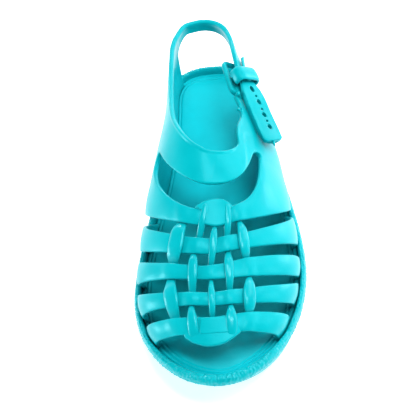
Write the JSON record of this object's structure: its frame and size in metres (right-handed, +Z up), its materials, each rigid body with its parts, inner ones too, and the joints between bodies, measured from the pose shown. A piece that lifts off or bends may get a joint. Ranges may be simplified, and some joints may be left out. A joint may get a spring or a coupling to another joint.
{
  "type": "fisherman sandal",
  "caption": "Moulded turquoise jelly fisherman sandal for the left foot, with woven straps over the toes, a window, an instep band and a buckled sling strap round the heel.",
  "frame": {"origin": "on the floor under the middle of the bounding box", "axes": "+Y from the toe to the heel, +Z up from the floor, +X to the outer side of the foot, where the buckle is"},
  "size_m": [0.0978, 0.245, 0.0715],
  "materials": {
    "sole_pvc": "satin moulded PVC, pebbled on the rim",
    "insole_pvc": "satin moulded PVC",
    "upper_pvc": "smooth glossy moulded PVC",
    "frame_pvc": "smooth moulded PVC",
    "prong_pvc": "smooth moulded PVC",
    "keeper_pvc": "smooth moulded PVC"
  },
  "bodies": {
    "root": {"sole": "sole_pvc", "insole": "insole_pvc", "upper": "upper_pvc", "buckle_frame": "frame_pvc", "buckle_prong": "prong_pvc", "keeper": "keeper_pvc"}
  },
  "joints": []
}
